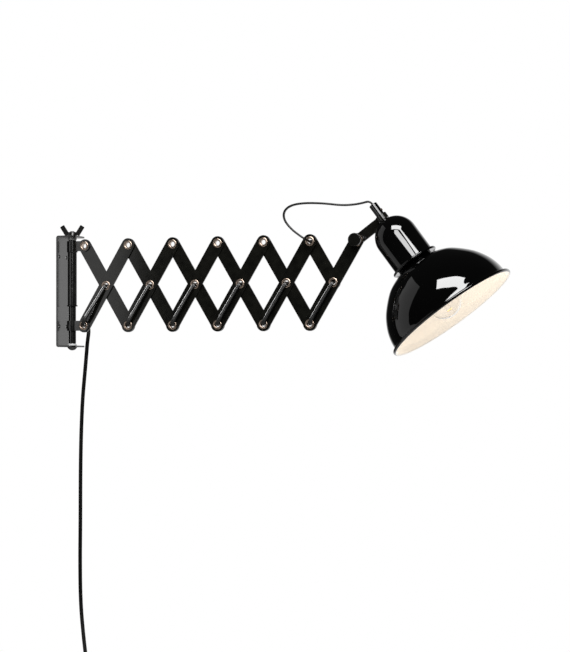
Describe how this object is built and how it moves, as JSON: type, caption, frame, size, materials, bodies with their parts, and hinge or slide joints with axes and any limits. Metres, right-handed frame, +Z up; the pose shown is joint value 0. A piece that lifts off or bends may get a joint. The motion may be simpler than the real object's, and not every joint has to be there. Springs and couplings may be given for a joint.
{
  "type": "accordion wall lamp",
  "caption": "Wall lamp on a scissor arm with a swivelling bracket, a tilting domed shade on a threaded stem, and a cable threaded through hollow rivets.",
  "frame": {"origin": "centre of the wall plate's back face, on the wall", "axes": "+X out of the wall along the arm, +Y along the wall, +Z up"},
  "size_m": [0.5895, 0.174, 0.7278],
  "materials": {
    "bar_enamel": "semi-gloss black enamel",
    "bracket_enamel": "semi-gloss black enamel",
    "black_hardware": "black enamel",
    "nickel": "bright nickel plate",
    "knob_plastic": "matt black",
    "stem_enamel": "gloss black enamel",
    "shade_enamel": "high gloss black enamel, white inside the shade",
    "holder_plastic": "white",
    "lamp_glass": "clear",
    "lamp_cap": "plain",
    "cable_sheath": "glossy black",
    "tie_plastic": "matt black",
    "plug_plastic": "matt black",
    "plug_pin_metal": "nickel-plated brass"
  },
  "bodies": {
    "wall_mount": {"wall_bracket": "bracket_enamel", "spindle_bolt": "black_hardware", "spindle_washers": "nickel"},
    "wing_nut": {"wing_nut": "black_hardware"},
    "swivel": {"spindle_tube": "bracket_enamel", "spacer_sleeve": "bracket_enamel", "spacer_rings": "bracket_enamel", "upper_knuckle": "bracket_enamel", "upper_knuckle_rivet": "nickel"},
    "lower_knuckle": {"lower_knuckle": "bracket_enamel", "cable_tail": "cable_sheath", "cable_coil": "cable_sheath", "coil_tie": "tie_plastic", "plug_body": "plug_plastic", "plug_pins": "plug_pin_metal"},
    "back_bar_1": {"back_bar_1": "bar_enamel", "back_cable_1": "cable_sheath"},
    "back_bar_2": {"back_bar_2": "bar_enamel", "back_cable_2": "cable_sheath"},
    "back_bar_3": {"back_bar_3": "bar_enamel", "back_cable_3": "cable_sheath"},
    "back_bar_4": {"back_bar_4": "bar_enamel", "back_cable_4": "cable_sheath"},
    "back_bar_5": {"back_bar_5": "bar_enamel", "back_cable_5": "cable_sheath"},
    "front_bar_1": {"front_bar_1": "bar_enamel", "bar_rivets_1": "nickel", "front_cable_1": "cable_sheath"},
    "front_bar_2": {"front_bar_2": "bar_enamel", "bar_rivets_2": "nickel", "front_cable_2": "cable_sheath"},
    "front_bar_3": {"front_bar_3": "bar_enamel", "bar_rivets_3": "nickel", "front_cable_3": "cable_sheath"},
    "front_bar_4": {"front_bar_4": "bar_enamel", "bar_rivets_4": "nickel", "front_cable_4": "cable_sheath"},
    "front_bar_5": {"front_bar_5": "bar_enamel", "bar_rivets_5": "nickel", "front_cable_5": "cable_sheath"},
    "front_bar_6": {"front_bar_6": "bar_enamel", "bar_rivets_6": "nickel", "front_cable_6": "cable_sheath", "clamp_washer": "nickel"},
    "half_bar": {"half_bar": "bar_enamel", "half_cable": "cable_sheath", "cable_loop": "cable_sheath"},
    "clamp_knob": {"clamp_knob": "knob_plastic", "clamp_screw": "nickel"},
    "head": {"head_arm": "bar_enamel", "stem": "stem_enamel", "stem_screw": "nickel", "stem_cable": "cable_sheath", "head_nuts": "nickel", "neck_cap": "shade_enamel", "shade": "shade_enamel", "lampholder": "holder_plastic", "bulb_glass": "lamp_glass", "bulb_cap": "lamp_cap"}
  },
  "joints": [
    {"name": "swivel", "type": "hinge", "parent": "wall_mount", "child": "swivel", "pos_m": [0.0151, 0, 0], "axis": [0, 0, 1], "range_deg": [-60, 60], "deforming": ["cable_tail"]},
    {"name": "accordion", "type": "hinge", "parent": "swivel", "child": "back_bar_1", "pos_m": [0.0325, 0, 0.059], "axis": [0, -1, 0], "range_deg": [-21.6, 14.4], "deforming": ["cable_loop", "cable_tail"]},
    {"name": "cross_1", "type": "hinge", "parent": "back_bar_1", "child": "front_bar_1", "pos_m": [0.06304, 0, 0.00736], "axis": [0, -1, 0], "range_deg": [-28.8, 43.2]},
    {"name": "slide_knuckle", "type": "hinge", "parent": "front_bar_1", "child": "lower_knuckle", "pos_m": [0.0325, 0, -0.04429], "axis": [0, -1, 0], "range_deg": [-21.6, 14.4]},
    {"name": "low_2", "type": "hinge", "parent": "back_bar_1", "child": "front_bar_2", "pos_m": [0.09359, 0, -0.04429], "axis": [0, -1, 0], "range_deg": [-28.8, 43.2]},
    {"name": "cross_2", "type": "hinge", "parent": "front_bar_2", "child": "back_bar_2", "pos_m": [0.12413, 0, 0.00736], "axis": [0, -1, 0], "range_deg": [-43.2, 28.8]},
    {"name": "high_3", "type": "hinge", "parent": "front_bar_2", "child": "back_bar_3", "pos_m": [0.15467, 0, 0.059], "axis": [0, -1, 0], "range_deg": [-43.2, 28.8]},
    {"name": "cross_3", "type": "hinge", "parent": "back_bar_3", "child": "front_bar_3", "pos_m": [0.18521, 0, 0.00736], "axis": [0, -1, 0], "range_deg": [-28.8, 43.2]},
    {"name": "low_4", "type": "hinge", "parent": "back_bar_3", "child": "front_bar_4", "pos_m": [0.21576, 0, -0.04429], "axis": [0, -1, 0], "range_deg": [-28.8, 43.2]},
    {"name": "cross_4", "type": "hinge", "parent": "front_bar_4", "child": "back_bar_4", "pos_m": [0.2463, 0, 0.00736], "axis": [0, -1, 0], "range_deg": [-43.2, 28.8]},
    {"name": "high_5", "type": "hinge", "parent": "front_bar_4", "child": "back_bar_5", "pos_m": [0.27684, 0, 0.059], "axis": [0, -1, 0], "range_deg": [-43.2, 28.8]},
    {"name": "cross_5", "type": "hinge", "parent": "back_bar_5", "child": "front_bar_5", "pos_m": [0.30738, 0, 0.00736], "axis": [0, -1, 0], "range_deg": [-28.8, 43.2]},
    {"name": "low_6", "type": "hinge", "parent": "back_bar_5", "child": "front_bar_6", "pos_m": [0.33792, 0, -0.04429], "axis": [0, -1, 0], "range_deg": [-28.8, 43.2]},
    {"name": "cross_6", "type": "hinge", "parent": "front_bar_6", "child": "half_bar", "pos_m": [0.36847, 0, 0.00736], "axis": [0, -1, 0], "range_deg": [-43.2, 28.8]},
    {"name": "head_tilt", "type": "hinge", "parent": "front_bar_6", "child": "head", "pos_m": [0.39901, 0, 0.059], "axis": [0, -1, 0], "range_deg": [-35, 45], "deforming": ["cable_loop"]},
    {"name": "clamp_turn", "type": "hinge", "parent": "front_bar_6", "child": "clamp_knob", "pos_m": [0.39901, 0, 0.059], "axis": [0, -1, 0], "continuous": true},
    {"name": "wing_turn", "type": "hinge", "parent": "wall_mount", "child": "wing_nut", "pos_m": [0.0151, 0, 0.075], "axis": [0, 0, 1], "continuous": true}
  ],
  "couplings": [
    {"joint": "cross_1", "follows": "accordion", "ratio": -2},
    {"joint": "slide_knuckle", "follows": "accordion", "ratio": 1},
    {"joint": "low_2", "follows": "accordion", "ratio": -2},
    {"joint": "cross_2", "follows": "accordion", "ratio": 2},
    {"joint": "high_3", "follows": "accordion", "ratio": 2},
    {"joint": "cross_3", "follows": "accordion", "ratio": -2},
    {"joint": "low_4", "follows": "accordion", "ratio": -2},
    {"joint": "cross_4", "follows": "accordion", "ratio": 2},
    {"joint": "high_5", "follows": "accordion", "ratio": 2},
    {"joint": "cross_5", "follows": "accordion", "ratio": -2},
    {"joint": "low_6", "follows": "accordion", "ratio": -2},
    {"joint": "cross_6", "follows": "accordion", "ratio": 2}
  ]
}
